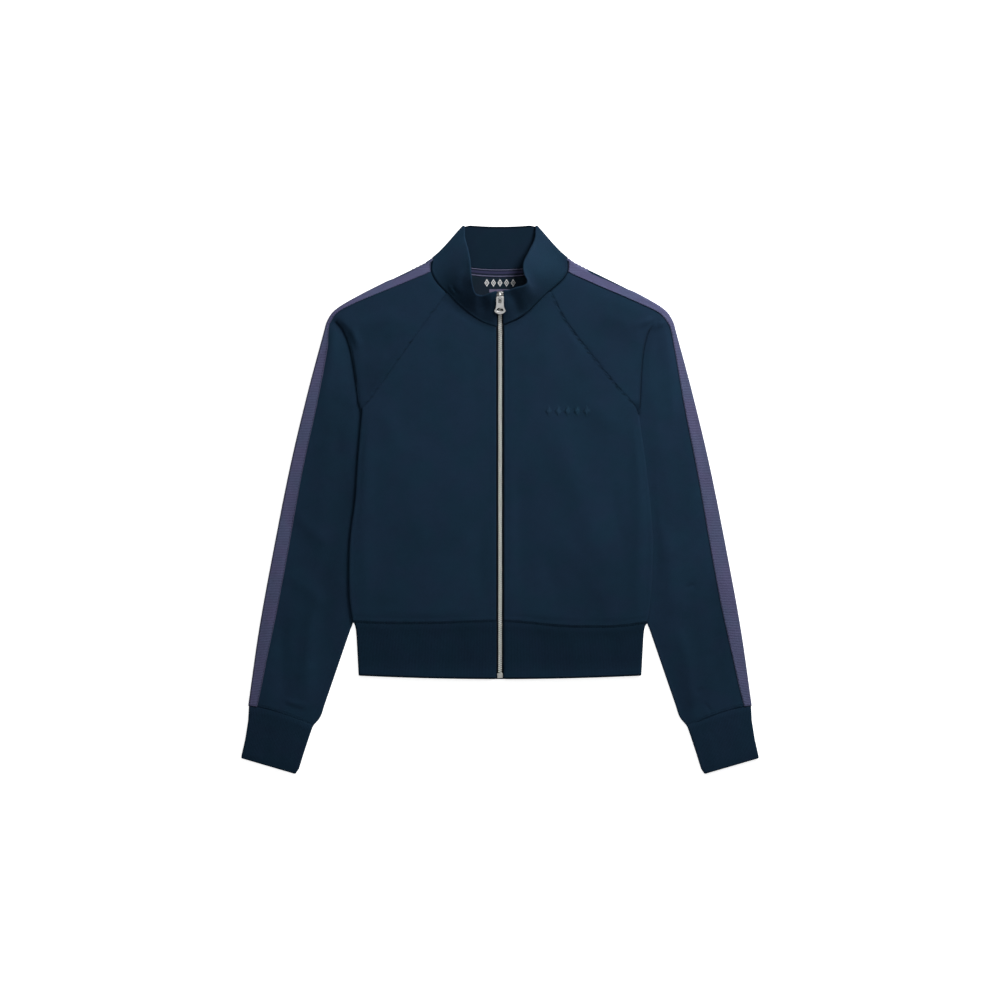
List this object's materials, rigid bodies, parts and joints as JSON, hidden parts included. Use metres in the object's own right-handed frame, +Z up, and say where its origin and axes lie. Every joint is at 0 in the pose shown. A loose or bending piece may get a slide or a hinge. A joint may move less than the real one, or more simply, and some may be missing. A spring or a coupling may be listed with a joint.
{
  "type": "zip-up track top",
  "caption": "Raglan track top laid flat, closed by a front zip, with a stand collar, over-arm stripe tapes, ribbed cuffs and a deep ribbed waistband; the zip's pull tab swings.",
  "frame": {"origin": "middle of the laid-out garment's outline, on the surface it lies on", "axes": "+Y towards the collar, +X towards the wearer's left, +Z up off the surface, out of the garment's front"},
  "size_m": [0.725, 0.766, 0.0295],
  "materials": {
    "jersey": "smooth navy sweatshirt jersey",
    "rib": "fine navy rib knit",
    "collar": "doubled navy jersey",
    "stripe": "cross-ribbed purple-blue tape",
    "neck_tape": "twill tape with pale edge lines",
    "neck_patch": "navy jersey, wrong side",
    "zip_tape": "dark woven zip tape",
    "zip_metal": "warm silver teeth and slider",
    "pull_metal": "bright silver pull tab"
  },
  "bodies": {
    "garment": {"front_right": "jersey", "front_left": "jersey", "back": "jersey", "sleeve_right_front": "jersey", "sleeve_right_back": "jersey", "stripe_tape_right": "stripe", "sleeve_left_front": "jersey", "sleeve_left_back": "jersey", "stripe_tape_left": "stripe", "cuff_right": "rib", "cuff_left": "rib", "waistband": "rib", "collar": "collar", "neck_tape": "neck_tape", "neck_patch": "neck_patch", "zip_tape_right": "zip_tape", "zip_tape_left": "zip_tape", "zip_chain": "zip_metal", "zip_retainer": "zip_metal", "zip_slider": "zip_metal"},
    "pull_tab": {"zip_pull_tab": "pull_metal"}
  },
  "joints": [
    {"name": "pull_tab_swing", "type": "hinge", "parent": "garment", "child": "pull_tab", "pos_m": [0, 0.28195, 0.02476], "axis": [-1, 0, 0], "range_deg": [0, 170]}
  ]
}
